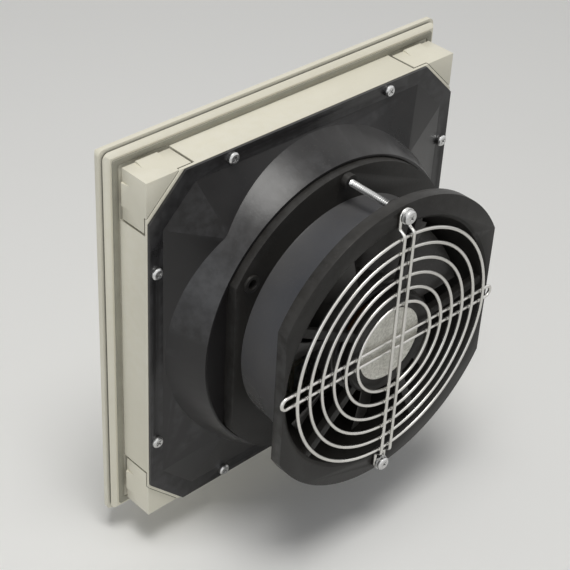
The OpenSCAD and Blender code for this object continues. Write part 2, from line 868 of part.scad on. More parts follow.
// One section of a blade at a radius: its outline around the camber line, wrapped on a cylinder
function blade_section(r) =
    let (t = (r - blade_root) / (tip_r - blade_root),
         chord = root_chord + t * (tip_chord - root_chord),
         angle = root_angle + t * (tip_angle - root_angle),
         ends = [for (i = [0 : blade_steps]) i / blade_steps - 1 / 2])
    [for (side = [1, -1], c = side > 0 ? ends : [for (i = [blade_steps : -1 : 0]) ends[i]])
        let (along = c * chord,
             bow = camber_share * chord * (1 - 4 * c * c),
             thick = side * blade_t / 2 * sqrt(max(1 - thinning_share * c * c, edge_share)),
             across = bow + thick,
             tangent = along * cos(angle) - across * sin(angle) + sweep * t,
             axial = along * sin(angle) + across * cos(angle),
             turn = tangent / r * 180 / PI)
        [r * cos(turn), blade_mid + axial, r * sin(turn)]];

module blade() {
    n = 2 * (blade_steps + 1);
    sections = [for (i = [0 : blade_stations - 1])
        blade_section(blade_root + (tip_r - blade_root) * i / (blade_stations - 1))];
    points = [for (s = sections) each s];
    sides = [for (k = [0 : blade_stations - 2], i = [0 : n - 1])
        let (a = k * n + i, b = k * n + (i + 1) % n)
        each [[a, b + n, b], [a, a + n, b + n]]];
    inner_end = [for (i = [0 : blade_steps - 1]) each
        [[i, i + 1, n - 1 - i], [i + 1, n - 2 - i, n - 1 - i]]];
    last = (blade_stations - 1) * n;
    outer_end = [for (f = inner_end) [f[0] + last, f[2] + last, f[1] + last]];
    polyhedron(points, concat(sides, inner_end, outer_end));
}

module impeller() {
    color("#222325") {
        around_y() square_ring(can_r + hub_fit, can_r + hub_t, hub_front, hub_rear);
        for (i = [0 : blade_count - 1]) rotate([0, i * 360 / blade_count, 0]) blade();
    }
}

// Radius of the tube's outside at a depth
function tube_out(y) = passage_r(y) + tube_wall;

terminal_y = rear_flange_start - terminal_len - gap;
terminal_from = tube_out(terminal_y + terminal_len) + gap;

module terminal_block() {
    color("#141414") rotate([0, -terminal_angle, 0]) difference() {
        block([terminal_from - terminal_sink, terminal_y, -terminal_w / 2],
              [terminal_from + terminal_h, terminal_y + terminal_len, terminal_w / 2]);
        around_y() polygon([[0, terminal_y - cut],
            [tube_out(terminal_y - cut), terminal_y - cut],
            [tube_out(terminal_y + terminal_len + cut), terminal_y + terminal_len + cut],
            [0, terminal_y + terminal_len + cut]]);
    }
}

module terminal_tabs() {
    mid = terminal_from + terminal_h / 2;
    color("#c9b26a") rotate([0, -terminal_angle, 0]) for (z = [-tab_pitch / 2, tab_pitch / 2])
        block([mid - tab_w / 2, terminal_y - tab_len, z - tab_t / 2],
              [mid + tab_w / 2, terminal_y, z + tab_t / 2]);
}

module guard_rings() {
    color("#cfd1d3") for (i = [0 : ring_count - 1])
        around_y() translate([ring_r - i * ring_pitch, ring_y]) circle(wire_r, $fn = 24);
}

// Straight wire along X, which runs on a little into the bends at its ends
module straight(x0, x1, at) {
    rod_x(wire_r, x0 - bend_over, x1 + bend_over, at);
}

// Half loop that joins the two wires of an arm at its end
module arm_loop(loop_at) {
    translate([loop_at, foot_y, 0]) rotate([-90, 0, 0]) rotate([0, 0, -90])
        rotate_extrude(angle = 180) translate([loop_r, 0])
            circle(wire_r + bend_swell, $fn = 24);
}

// Bend of a wire in the plane of X and Y, round a centre
module wire_bend(x, y, from) {
    translate([x, y, 0]) rotate([0, 0, from]) rotate_extrude(angle = bend_angle)
        translate([bend_r, 0]) circle(wire_r + bend_swell, $fn = 24);
}

// End of the upper arm, along +X: its wires drop beside the rings to the flange
module arm_end() {
    for (s = [-1, 1]) translate([0, 0, s * loop_r]) {
        wire_bend(bend_start, arm_y - bend_r, 90 - bend_angle);
        translate([bend_start + bend_r * sin(bend_angle),
                   arm_y - bend_r * (1 - cos(bend_angle)), 0])
            rotate([0, 0, -bend_angle]) straight(0, slope_len, [0, 0]);
        wire_bend(bend_end, foot_y + bend_r, 270 - bend_angle);
        straight(bend_end, long_loop_at, [foot_y, 0]);
    }
    arm_loop(long_loop_at);
}

// Upper arm, along X: it crosses over the rings
module upper_arm() {
    for (s = [-1, 1]) straight(-bend_start, bend_start, [arm_y, s * loop_r]);
    for (a = [0, 180]) rotate([0, a, 0]) arm_end();
}

// Lower arm, along X: straight wires under the rings
module lower_arm() {
    loop_at = side_arm_end - loop_r - wire_r;
    for (s = [-1, 1]) straight(-loop_at, loop_at, [foot_y, s * loop_r]);
    for (a = [0, 180]) rotate([0, a, 0]) arm_loop(loop_at);
}

module guard_arms() {
    color("#d3d5d7") {
        lower_arm();
        rotate([0, 90, 0]) upper_arm();
    }
}

module guard_screws() {
    color("#d0d2d4") for (z = [-long_screw_at, long_screw_at]) translate([0, head_y, z])
        pan_screw(long_head_r, long_head_h, long_r, head_y - nut_y + nut_tail);
}

module guard_washers() {
    color("#b5b7b9") for (z = [-long_screw_at, long_screw_at]) translate([0, 0, z])
        around_y() square_ring(long_r + screw_fit, washer_r, washer_y, washer_y + washer_t);
}

module guard_nuts() {
    color("#b5b7b9") for (z = [-long_screw_at, long_screw_at]) translate([0, 0, z]) difference() {
        translate([0, nut_y, 0]) rotate([-90, 0, 0]) cylinder(r = nut_r, h = nut_t, $fn = 6);
        rod_y(long_r + screw_fit, nut_y - cut, nut_y + nut_t + cut);
    }
}

louvre_cover();
filter_mat();
support_grid();
main_frame();
panel_gasket();
cover_hinge_pins();
latch_top_left();
latch_top_right();
latch_bottom_left();
latch_bottom_right();
cowl();
cowl_screws();
fan_housing();
motor_cap();
stator_core();
stator_windings();
bearing_front();
bearing_rear();
preload_spring();
rotor_can();
rotor_cage();
impeller();
rotor_shaft();
shaft_circlip();
terminal_block();
terminal_tabs();
guard_rings();
guard_arms();
guard_screws();
guard_washers();
guard_nuts();
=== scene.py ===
"""Looks of the enclosure filter fan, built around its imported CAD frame.

The camera stands behind the fan, above it and to its left, as in the photograph.
"""

import logging
import math
from collections.abc import Callable, Iterable
from dataclasses import dataclass
from enum import Enum

import bpy
from mathutils import Matrix, Vector


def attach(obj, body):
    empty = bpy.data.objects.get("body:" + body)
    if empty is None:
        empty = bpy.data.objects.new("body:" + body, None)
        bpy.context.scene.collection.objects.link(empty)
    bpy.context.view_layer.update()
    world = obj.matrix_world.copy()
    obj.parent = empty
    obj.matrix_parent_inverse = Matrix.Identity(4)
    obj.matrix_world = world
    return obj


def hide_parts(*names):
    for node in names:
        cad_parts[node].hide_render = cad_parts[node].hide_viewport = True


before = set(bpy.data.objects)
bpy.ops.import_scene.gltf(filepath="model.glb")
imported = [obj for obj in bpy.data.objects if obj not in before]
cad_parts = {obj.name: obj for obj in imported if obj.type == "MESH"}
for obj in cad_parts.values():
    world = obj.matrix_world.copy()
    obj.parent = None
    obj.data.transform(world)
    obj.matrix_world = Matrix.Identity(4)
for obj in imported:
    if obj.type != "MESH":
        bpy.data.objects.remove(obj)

log = logging.getLogger("filter_fan")

Colour = tuple[float, float, float]
MM = 0.001
MERGE = 1e-6
CLOSE_MERGE = 1e-7
NEARLY_FLAT = math.radians(0.4)


class Plane(Enum):
    """Which way the flat of a new disc or sheet faces."""

    TO_THE_FAN = (-math.pi / 2, 0.0, 0.0)
    UP = (0.0, 0.0, 0.0)


class Part(Enum):
    """What is selected in edit mode: the operator's mode and the mesh's list."""

    CORNERS = ("VERT", "vertices")
    FACES = ("FACE", "polygons")


class Bench:
    """The modelling operators, each used on one object at a time."""

    @staticmethod
    def pick(obj: bpy.types.Object) -> None:
        """Leaves only this object selected and active.

        Args:
            obj: The object to work on.
        """
        if bpy.context.mode != "OBJECT":
            bpy.ops.object.mode_set(mode="OBJECT")
        bpy.ops.object.select_all(action="DESELECT")
        obj.hide_viewport = False
        obj.select_set(True)
        bpy.context.view_layer.objects.active = obj

    @staticmethod
    def clear() -> None:
        """Deselects everything, before a primitive is added."""
        if bpy.context.mode != "OBJECT":
            bpy.ops.object.mode_set(mode="OBJECT")
        bpy.ops.object.select_all(action="DESELECT")

    @staticmethod
    def named(name: str) -> bpy.types.Object:
        """Names the object that an operator has just added.

        Args:
            name: The piece's name.

        Returns:
            The active object.
        """
        obj = bpy.context.active_object
        obj.name = name
        obj.data.name = name
        return obj

    @staticmethod
    def settle(obj: bpy.types.Object) -> None:
        """Moves an object's place into its mesh, so that it sits at the origin.

        Args:
            obj: The finished piece.
        """
        Bench.pick(obj)
        bpy.ops.object.transform_apply(location=True, rotation=True, scale=True)

    @staticmethod
    def apply(obj: bpy.types.Object, kind: str, **values: object) -> None:
        """Adds one modifier and applies it.

        Args:
            obj: The piece.
            kind: The modifier's type.
            values: Its settings by name.
        """
        Bench.pick(obj)
        modifier = obj.modifiers.new(kind.lower(), kind)
        for key, value in values.items():
            setattr(modifier, key, value)
        bpy.ops.object.modifier_apply(modifier=modifier.name)

    @staticmethod
    def copy(obj: bpy.types.Object) -> bpy.types.Object:
        """Copies a piece with a mesh of its own.

        Args:
            obj: The piece.

        Returns:
            The copy, in the scene.
        """
        made = obj.copy()
        made.data = obj.data.copy()
        bpy.context.scene.collection.objects.link(made)
        return made

    @staticmethod
    def select(obj: bpy.types.Object, part: Part,
               wanted: Callable[[bpy.types.bpy_struct], bool]) -> None:
        """Selects corners or faces by their place or normal and goes into edit mode.

        Args:
            obj: The piece.
            part: What is selected.
            wanted: Says for each corner or face whether it is selected.
        """
        mode, members = part.value
        Bench.pick(obj)
        bpy.ops.object.mode_set(mode="EDIT")
        bpy.ops.mesh.select_mode(type=mode)
        bpy.ops.mesh.select_all(action="DESELECT")
        bpy.ops.object.mode_set(mode="OBJECT")
        for member in getattr(obj.data, members):
            member.select = wanted(member)
        bpy.ops.object.mode_set(mode="EDIT")

    @staticmethod
    def recalculate(obj: bpy.types.Object) -> None:
        """Merges doubles and points all faces outwards.

        Args:
            obj: The piece.
        """
        Bench.pick(obj)
        bpy.ops.object.mode_set(mode="EDIT")
        bpy.ops.mesh.select_all(action="SELECT")
        bpy.ops.mesh.remove_doubles(threshold=CLOSE_MERGE)
        bpy.ops.mesh.normals_make_consistent(inside=False)
        bpy.ops.object.mode_set(mode="OBJECT")

    @staticmethod
    def smooth(obj: bpy.types.Object, angle: float = 38.0) -> None:
        """Shades a piece smooth up to an angle.

        Args:
            obj: The piece.
            angle: The sharpest smooth edge, in degrees.
        """
        Bench.pick(obj)
        bpy.ops.object.shade_smooth_by_angle(angle=math.radians(angle))

    @staticmethod
    def join(objs: list[bpy.types.Object], name: str) -> bpy.types.Object:
        """Joins several pieces into one.

        Args:
            objs: The pieces, at least one.
            name: The joined piece's name.

        Returns:
            The joined piece.
        """
        Bench.pick(objs[0])
        for obj in objs:
            obj.select_set(True)
        bpy.ops.object.join()
        return Bench.named(name)

    @staticmethod
    def moulded_copy(node: str, name: str, edge: float, segments: int = 2,
                     angle: float = 32.0) -> bpy.types.Object:
        """Copies a CAD node and rounds its edges as a mould or a tool leaves them.

        Args:
            node: The CAD node.
            name: The new piece's name.
            edge: Width of the rounded edges, in metres.
            segments: Faces across each rounded edge.
            angle: The flattest edge that is rounded, in degrees.

        Returns:
            The new piece, which stands for the node.
        """
        obj = Bench.copy(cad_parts[node])
        for key in [key for key in obj.keys() if key.startswith("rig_")]:
            del obj[key]
        obj.parent = None
        obj.matrix_basis = Matrix.Identity(4)
        Bench.pick(obj)
        obj.name = name
        obj.data.name = name
        bpy.ops.mesh.customdata_custom_splitnormals_clear()
        bpy.ops.object.mode_set(mode="EDIT")
        bpy.ops.mesh.select_all(action="SELECT")
        bpy.ops.mesh.remove_doubles(threshold=MERGE)
        bpy.ops.mesh.dissolve_limited(angle_limit=NEARLY_FLAT)
        bpy.ops.object.mode_set(mode="OBJECT")
        if edge > 0:
            Bench.apply(obj, "BEVEL", width=edge, segments=segments, limit_method="ANGLE",
                        angle_limit=math.radians(angle), use_clamp_overlap=True)
        Bench.smooth(obj)
        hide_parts(node)
        return obj


class Graph:
    """A material's or a group's nodes, and the lines between them."""

    def __init__(self, tree: bpy.types.NodeTree) -> None:
        """Keeps the tree.

        Args:
            tree: The node tree to fill.
        """
        self.tree = tree

    def node(self, kind: str, inputs: dict[str | int, object] | None = None,
             **values: object) -> bpy.types.Node:
        """Adds a node.

        Args:
            kind: The node's type.
            inputs: A value or another node's output for each named input.
            values: The node's own settings.

        Returns:
            The node.
        """
        made = self.tree.nodes.new(kind)
        for key, value in values.items():
            setattr(made, key, value)
        for key, value in (inputs or {}).items():
            if isinstance(value, bpy.types.NodeSocket):
                self.tree.links.new(value, made.inputs[key])
            else:
                made.inputs[key].default_value = value
        return made

    def math(self, operation: str, *terms: object) -> bpy.types.NodeSocket:
        """Adds a calculation, whose result isn't clamped.

        Args:
            operation: The operation's name.
            terms: Numbers or outputs.

        Returns:
            The result.
        """
        made = self.node("ShaderNodeMath", dict(enumerate(terms)), operation=operation)
        return made.outputs[0]

    def noise(self, vector: bpy.types.NodeSocket, scale: object, detail: float = 3.0,
              roughness: float = 0.55) -> bpy.types.NodeSocket:
        """Adds a noise pattern.

        Args:
            vector: Where it is read.
            scale: How many cells fit into a metre.
            detail: How many finer layers it has.
            roughness: How strong the finer layers are.

        Returns:
            Its value, from 0 to 1.
        """
        made = self.node("ShaderNodeTexNoise", {"Vector": vector, "Scale": scale,
                         "Detail": detail, "Roughness": roughness})
        return made.outputs["Fac"]

    def between(self, value: bpy.types.NodeSocket, low: float, high: float,
                to_low: float = 0.0, to_high: float = 1.0) -> bpy.types.NodeSocket:
        """Stretches one range of a value over another, and clamps it.

        Args:
            value: The value.
            low: Start of its range.
            high: End of its range.
            to_low: What the start becomes.
            to_high: What the end becomes.

        Returns:
            The new value.
        """
        made = self.node("ShaderNodeMapRange", {"Value": value, "From Min": low,
                         "From Max": high, "To Min": to_low, "To Max": to_high}, clamp=True)
        return made.outputs["Result"]

    def mix(self, share: object, first: object, second: object) -> bpy.types.NodeSocket:
        """Mixes two colours.

        Args:
            share: Share of the second colour.
            first: The first colour.
            second: The second colour.

        Returns:
            The mixed colour.
        """
        made = self.node("ShaderNodeMix", data_type="RGBA")
        for index, value in ((0, share), (6, first), (7, second)):
            if isinstance(value, bpy.types.NodeSocket):
                self.tree.links.new(value, made.inputs[index])
            elif index == 0:
                made.inputs[index].default_value = value
            else:
                made.inputs[index].default_value = (*value, 1.0)
        return made.outputs[2]


class Effect(Enum):
    """The effects that several finishes share, each a shader node group."""

    GRAIN = "mould_grain"
    DUST = "dust_film"
    RUB = "edge_rub"
    DRAWN = "drawn_lines"
    TURNED = "turned_lines"
    CREVICE = "crevice_dirt"


class Effects:
    """Builds each shared effect once."""

    built: dict[Effect, bpy.types.NodeTree] = {}

    @classmethod
    def get(cls, effect: Effect) -> bpy.types.NodeTree:
        """Gives an effect's node group.

        Args:
            effect: The effect.

        Returns:
            The group, made on its first use.
        """
        if effect not in cls.built:
            maker = {Effect.GRAIN: cls._grain, Effect.DUST: cls._dust, Effect.RUB: cls._rub,
                     Effect.DRAWN: cls._drawn, Effect.TURNED: cls._turned,
                     Effect.CREVICE: cls._crevice}[effect]
            cls.built[effect] = maker(effect.value)
        return cls.built[effect]

    @staticmethod
    def _start(name: str, ins: Iterable[tuple[str, str, object]],
               outs: Iterable[tuple[str, str]]) -> tuple[Graph, bpy.types.Node, bpy.types.Node]:
        """Starts a group with its sockets.

        Args:
            name: The group's name.
            ins: Name, kind and default of each input.
            outs: Name and kind of each output.

        Returns:
            The graph, its input node and its output node.
        """
        tree = bpy.data.node_groups.new(name, "ShaderNodeTree")
        for label, kind, default in ins:
            socket = tree.interface.new_socket(label, in_out="INPUT", socket_type=kind)
            if default is not None:
                socket.default_value = default
        for label, kind in outs:
            tree.interface.new_socket(label, in_out="OUTPUT", socket_type=kind)
        graph = Graph(tree)
        return graph, graph.node("NodeGroupInput"), graph.node("NodeGroupOutput")

    @classmethod
    def _grain(cls, name: str) -> bpy.types.NodeTree:
        """Fine texture of a mould, with a slow drift for colour and gloss.

        Args:
            name: The group's name.

        Returns:
            The group.
        """
        graph, given, put = cls._start(
            name, [("Vector", "NodeSocketVector", None), ("Scale", "NodeSocketFloat", 900.0)],
            [("Height", "NodeSocketFloat"), ("Drift", "NodeSocketFloat")])
        vector, scale = given.outputs["Vector"], given.outputs["Scale"]
        fine = graph.noise(vector, scale, 2.0)
        slow = graph.noise(vector, graph.math("MULTIPLY", scale, 0.016), 5.0, 0.6)
        graph.tree.links.new(fine, put.inputs["Height"])
        graph.tree.links.new(graph.between(slow, 0.3, 0.72), put.inputs["Drift"])
        return graph.tree

    @classmethod
    def _dust(cls, name: str) -> bpy.types.NodeTree:
        """A thin film of dust that lies on what faces up.

        Args:
            name: The group's name.

        Returns:
            The group.
        """
        graph, given, put = cls._start(
            name, [("Vector", "NodeSocketVector", None),
                   ("Color", "NodeSocketColor", (0.5, 0.5, 0.5, 1.0)),
                   ("Dust", "NodeSocketColor", (0.42, 0.40, 0.36, 1.0)),
                   ("Amount", "NodeSocketFloat", 0.2)],
            [("Color", "NodeSocketColor"), ("Mask", "NodeSocketFloat")])
        normal = graph.node("ShaderNodeNewGeometry").outputs["Normal"]
        up = graph.node("ShaderNodeSeparateXYZ", {0: normal}).outputs["Z"]
        facing = graph.between(up, -0.1, 0.9, 0.12, 1.0)
        patches = graph.between(graph.noise(given.outputs["Vector"], 26.0, 6.0, 0.62), 0.34, 0.7)
        specks = graph.between(graph.noise(given.outputs["Vector"], 700.0, 2.0), 0.56, 0.74)
        cover = graph.math("MAXIMUM", graph.math("MULTIPLY", patches, 0.75), specks)
        mask = graph.math("MULTIPLY", graph.math("MULTIPLY", facing, cover),
                          given.outputs["Amount"])
        colour = graph.mix(mask, given.outputs["Color"], given.outputs["Dust"])
        graph.tree.links.new(colour, put.inputs["Color"])
        graph.tree.links.new(mask, put.inputs["Mask"])
        return graph.tree

    @classmethod
    def _rub(cls, name: str) -> bpy.types.NodeTree:
        """Edges that handling has rubbed, from the shape's own corners.

        Args:
            name: The group's name.

        Returns:
            The group.
        """
        graph, given, put = cls._start(
            name, [("Vector", "NodeSocketVector", None),
                   ("Color", "NodeSocketColor", (0.5, 0.5, 0.5, 1.0)),
                   ("Rubbed", "NodeSocketColor", (0.7, 0.7, 0.7, 1.0)),
                   ("Amount", "NodeSocketFloat", 0.4)],
            [("Color", "NodeSocketColor"), ("Mask", "NodeSocketFloat")])
        point = graph.node("ShaderNodeNewGeometry").outputs["Pointiness"]
        edge = graph.between(point, 0.515, 0.6)
        broken = graph.between(graph.noise(given.outputs["Vector"], 160.0, 4.0), 0.36, 0.62)
        mask = graph.math("MULTIPLY", graph.math("MULTIPLY", edge, broken),
                          given.outputs["Amount"])
        colour = graph.mix(mask, given.outputs["Color"], given.outputs["Rubbed"])
        graph.tree.links.new(colour, put.inputs["Color"])
        graph.tree.links.new(mask, put.inputs["Mask"])
        return graph.tree

    @classmethod
    def _crevice(cls, name: str) -> bpy.types.NodeTree:
        """Painted shade: darkens the colour in slits and narrow gaps that ambient occlusion finds.

        Args:
            name: The group's name.

        Returns:
            The group.
        """
        graph, given, put = cls._start(
            name, [("Vector", "NodeSocketVector", None),
                   ("Color", "NodeSocketColor", (0.5, 0.5, 0.5, 1.0)),
                   ("Dirt", "NodeSocketColor", (0.035, 0.032, 0.028, 1.0)),
                   ("Amount", "NodeSocketFloat", 0.6)],
            [("Color", "NodeSocketColor")])
        # Painted shade: ambient occlusion darkens the colour in slits and narrow gaps.
        gap = graph.node("ShaderNodeAmbientOcclusion", {"Distance": 0.0032}, samples=8)
        shut = graph.between(gap.outputs["AO"], 0.18, 0.62, 1.0, 0.0)
        patches = graph.between(graph.noise(given.outputs["Vector"], 60.0, 4.0), 0.2, 0.6,
                                0.7, 1.0)
        mask = graph.math("MULTIPLY", graph.math("MULTIPLY", shut, patches),
                          given.outputs["Amount"])
        colour = graph.mix(mask, given.outputs["Color"], given.outputs["Dirt"])
        graph.tree.links.new(colour, put.inputs["Color"])
        return graph.tree

    @classmethod
    def _drawn(cls, name: str) -> bpy.types.NodeTree:
        """Fine lines across a stretched direction, as drawing or rolling leaves them.

        Args:
            name: The group's name.

        Returns:
            The group.
        """
        graph, given, put = cls._start(
            name, [("Vector", "NodeSocketVector", None),
                   ("Stretch", "NodeSocketVector", (60.0, 1200.0, 1200.0))],
            [("Height", "NodeSocketFloat")])
        spot = graph.node("ShaderNodeVectorMath", {0: given.outputs["Vector"],
                          1: given.outputs["Stretch"]}, operation="MULTIPLY")
        lines = graph.noise(spot.outputs[0], 1.0, 3.0)
        graph.tree.links.new(lines, put.inputs["Height"])
        return graph.tree

    @classmethod
    def _turned(cls, name: str) -> bpy.types.NodeTree:
        """Fine rings around the fan's axis, as a lathe or a spinning tool leaves them.

        Args:
            name: The group's name.

        Returns:
            The group.
        """
        graph, given, put = cls._start(
            name, [("Vector", "NodeSocketVector", None), ("Rings", "NodeSocketFloat", 1500.0)],
            [("Height", "NodeSocketFloat")])
        flat = graph.node("ShaderNodeVectorMath", {0: given.outputs["Vector"],
                          1: (1.0, 0.0, 1.0)}, operation="MULTIPLY")
        away = graph.node("ShaderNodeVectorMath", {0: flat.outputs[0]}, operation="LENGTH")
        turns = graph.math("MULTIPLY", away.outputs["Value"], given.outputs["Rings"])
        place = graph.node("ShaderNodeCombineXYZ", {0: turns})
        graph.tree.links.new(graph.noise(place.outputs[0], 1.0, 3.0), put.inputs["Height"])
        return graph.tree


@dataclass(frozen=True)
class Finish:
    """A moulded, cast or painted finish.

    Attributes:
        slot: The material's name. It is the record's material slot, except for the
        tube's painted sheen, which is a second material on the housing.
        colour: Its main colour.
        drift: The colour that it drifts to in patches.
        roughness: Least and greatest roughness.
        grain: Cells of its texture in a metre.
        depth: Depth of that texture, in metres.
        metallic: 1 for bare metal.
        coat: Share of a clear top layer.
        dust: How much dust lies on it.
        rub: How much its edges are rubbed.
        rubbed: Colour of a rubbed edge.
        specular: Strength of its plain gloss.
        crevice: How strong the painted shade in its narrow gaps is.
    """

    slot: str
    colour: Colour
    drift: Colour
    roughness: tuple[float, float] = (0.4, 0.5)
    grain: float = 900.0
    depth: float = 0.00003
    metallic: float = 0.0
    coat: float = 0.0
    dust: float = 0.0
    rub: float = 0.0
    rubbed: Colour = (0.7, 0.7, 0.7)
    specular: float = 0.5
    crevice: float = 0.0

    def height(self, graph: Graph, vector: bpy.types.NodeSocket,
               grain: bpy.types.Node) -> bpy.types.NodeSocket:
        """Gives the surface's height.

        Args:
            graph: The material's graph.
            vector: Object coordinates.
            grain: The material's grain node.

        Returns:
            The height.
        """
        return grain.outputs["Height"]

    def material(self) -> bpy.types.Material:
        """Builds the finish.

        Returns:
            The material.
        """
        made = bpy.data.materials.new(self.slot)
        made.use_nodes = True
        graph = Graph(made.node_tree)
        shader = made.node_tree.nodes["Principled BSDF"]
        vector = graph.node("ShaderNodeTexCoord").outputs["Object"]
        grain = self.group(graph, Effect.GRAIN, {"Vector": vector, "Scale": self.grain})
        drift = grain.outputs["Drift"]
        colour = graph.mix(drift, self.colour, self.drift)
        rough = graph.between(drift, 0.0, 1.0, *self.roughness)
        if self.rub > 0:
            rub = self.group(graph, Effect.RUB, {"Vector": vector, "Color": colour,
                             "Rubbed": (*self.rubbed, 1.0), "Amount": self.rub})
            colour = rub.outputs["Color"]
        if self.dust > 0:
            dust = self.group(graph, Effect.DUST, {"Vector": vector, "Color": colour,
                              "Amount": self.dust})
            colour = dust.outputs["Color"]
            rough = graph.math("ADD", rough, graph.math("MULTIPLY", dust.outputs["Mask"], 0.5))
        # Painted shade in slits and narrow gaps, from ambient occlusion.
        if self.crevice > 0:
            painted_shade = self.group(graph, Effect.CREVICE, {"Vector": vector, "Color": colour,
                              "Amount": self.crevice})
            colour = painted_shade.outputs["Color"]
        bump = graph.node("ShaderNodeBump", {"Height": self.height(graph, vector, grain),
                          "Distance": self.depth, "Strength": 1.0})
        links = made.node_tree.links
        links.new(colour, shader.inputs["Base Color"])
        links.new(rough, shader.inputs["Roughness"])
        links.new(bump.outputs["Normal"], shader.inputs["Normal"])
        shader.inputs["Metallic"].default_value = self.metallic
        shader.inputs["Coat Weight"].default_value = self.coat
        shader.inputs["Specular IOR Level"].default_value = self.specular
        made.diffuse_color = (*self.colour, 1.0)
        return made

    @staticmethod
    def group(graph: Graph, effect: Effect, inputs: dict[str, object]) -> bpy.types.Node:
        """Places a shared effect in a material.

        Args:
            graph: The material's graph.
            effect: The effect.
            inputs: Its values or what feeds them.

        Returns:
            The group node.
        """
        made = graph.tree.nodes.new("ShaderNodeGroup")
        made.node_tree = Effects.get(effect)
        for key, value in inputs.items():
            if isinstance(value, bpy.types.NodeSocket):
                graph.tree.links.new(value, made.inputs[key])
            else:
                made.inputs[key].default_value = value
        return made


@dataclass(frozen=True)
class DrawnFinish(Finish):
    """A finish with fine lines along one direction.

    Attributes:
        stretch: Cells of the lines in a metre along X, Y and Z.
    """

    stretch: Colour = (60.0, 1200.0, 1200.0)

    def height(self, graph: Graph, vector: bpy.types.NodeSocket,
               grain: bpy.types.Node) -> bpy.types.NodeSocket:
        """Gives the height of the lines; see the plain finish."""
        lines = self.group(graph, Effect.DRAWN, {"Vector": vector, "Stretch": self.stretch})
        return lines.outputs["Height"]


@dataclass(frozen=True)
class TurnedFinish(Finish):
    """A finish with fine rings around the fan's axis.

    Attributes:
        rings: Rings in a metre.
    """

    rings: float = 1500.0

    def height(self, graph: Graph, vector: bpy.types.NodeSocket,
               grain: bpy.types.Node) -> bpy.types.NodeSocket:
        """Gives the height of the rings; see the plain finish."""
        rings = self.group(graph, Effect.TURNED, {"Vector": vector, "Rings": self.rings})
        return rings.outputs["Height"]


@dataclass(frozen=True)
class FibreFinish(Finish):
    """A matt surface of tangled fibres or cells.

    Attributes:
        cell: Cells or tangles in a metre.
    """

    cell: float = 420.0

    def height(self, graph: Graph, vector: bpy.types.NodeSocket,
               grain: bpy.types.Node) -> bpy.types.NodeSocket:
        """Gives the height of the tangle; see the plain finish."""
        cells = graph.node("ShaderNodeTexVoronoi", {"Vector": vector, "Scale": self.cell},
                           feature="SMOOTH_F1")
        return graph.math("ADD", cells.outputs["Distance"], grain.outputs["Height"])


FINISHES: list[Finish] = [
    Finish("ivory_plastic", (0.78, 0.75, 0.63), (0.74, 0.71, 0.59), (0.38, 0.46), 1100.0,
           0.00001, dust=0.10, rub=0.25, rubbed=(0.84, 0.82, 0.74), crevice=0.95),
    FibreFinish("filter_fleece", (0.88, 0.88, 0.85), (0.80, 0.80, 0.76), (0.9, 1.0), 1500.0,
                0.0006, dust=0.1, specular=0.2),
    FibreFinish("gasket_foam", (0.36, 0.35, 0.29), (0.29, 0.28, 0.235), (0.8, 0.95), 2600.0,
                0.0001, specular=0.3, cell=1800.0),
    Finish("black_plastic", (0.011, 0.0105, 0.011), (0.018, 0.017, 0.018), (0.27, 0.40), 800.0,
           0.00002, dust=0.05, rub=0.25, rubbed=(0.09, 0.09, 0.095), specular=0.4,
           crevice=0.5),
    TurnedFinish("zinc_steel", (0.66, 0.66, 0.66), (0.52, 0.52, 0.51), (0.24, 0.42), 1500.0,
                 0.00001, metallic=1.0, rub=0.4, rubbed=(0.85, 0.85, 0.84), crevice=0.6,
                 rings=900.0),
    Finish("dark_casting", (0.020, 0.0185, 0.017), (0.010, 0.0095, 0.009), (0.34, 0.50), 620.0,
           0.00005, dust=0.06, rub=0.35, rubbed=(0.12, 0.12, 0.12), specular=0.22,
           crevice=0.5),
    # Painted sheen and reflection: the tube's lighter, bluish colour on the same casting.
    Finish("tube_casting", (0.112, 0.108, 0.104), (0.058, 0.062, 0.074), (0.24, 0.36), 520.0,
           0.00006, dust=0.05, rub=0.3, rubbed=(0.16, 0.16, 0.16), specular=0.5, crevice=0.5),
    Finish("bright_disc", (0.98, 0.97, 0.90), (0.56, 0.55, 0.49), (0.42, 0.60), 46000.0,
           0.0002, metallic=0.2, dust=0.1),
    DrawnFinish("lamination_steel", (0.22, 0.22, 0.23), (0.15, 0.15, 0.155), (0.35, 0.5),
                900.0, 0.0002, metallic=1.0, stretch=(20.0, 2200.0, 20.0)),
    DrawnFinish("copper_winding", (0.55, 0.27, 0.12), (0.42, 0.18, 0.07), (0.2, 0.34), 700.0,
                0.0003, metallic=0.8, coat=0.6, stretch=(1400.0, 1400.0, 60.0)),
    TurnedFinish("bearing_steel", (0.60, 0.60, 0.61), (0.52, 0.52, 0.53), (0.2, 0.3), 900.0,
                 0.00001, metallic=1.0, rings=2500.0),
    Finish("rotor_paint", (0.07, 0.07, 0.075), (0.05, 0.05, 0.053), (0.34, 0.46), 900.0,
           0.00002, dust=0.12, rub=0.3, rubbed=(0.2, 0.2, 0.2)),
    Finish("cage_aluminium", (0.62, 0.62, 0.63), (0.5, 0.5, 0.51), (0.4, 0.55), 500.0, 0.00006,
           metallic=1.0),
    Finish("blade_plastic", (0.030, 0.028, 0.027), (0.044, 0.042, 0.040), (0.26, 0.40), 700.0,
           0.00002, dust=0.3, rub=0.35, rubbed=(0.10, 0.10, 0.10), specular=0.45),
    Finish("terminal_plastic", (0.02, 0.02, 0.02), (0.03, 0.03, 0.03), (0.18, 0.28), 600.0,
           0.00001, dust=0.1),
    DrawnFinish("terminal_brass", (0.70, 0.58, 0.32), (0.58, 0.46, 0.24), (0.24, 0.36), 900.0,
                0.00001, metallic=1.0, stretch=(1500.0, 60.0, 1500.0)),
    DrawnFinish("guard_wire", (0.72, 0.71, 0.68), (0.58, 0.57, 0.54), (0.24, 0.38), 1200.0,
                0.00001, metallic=1.0, rub=0.3, rubbed=(0.9, 0.9, 0.88),
                stretch=(500.0, 500.0, 500.0)),
]


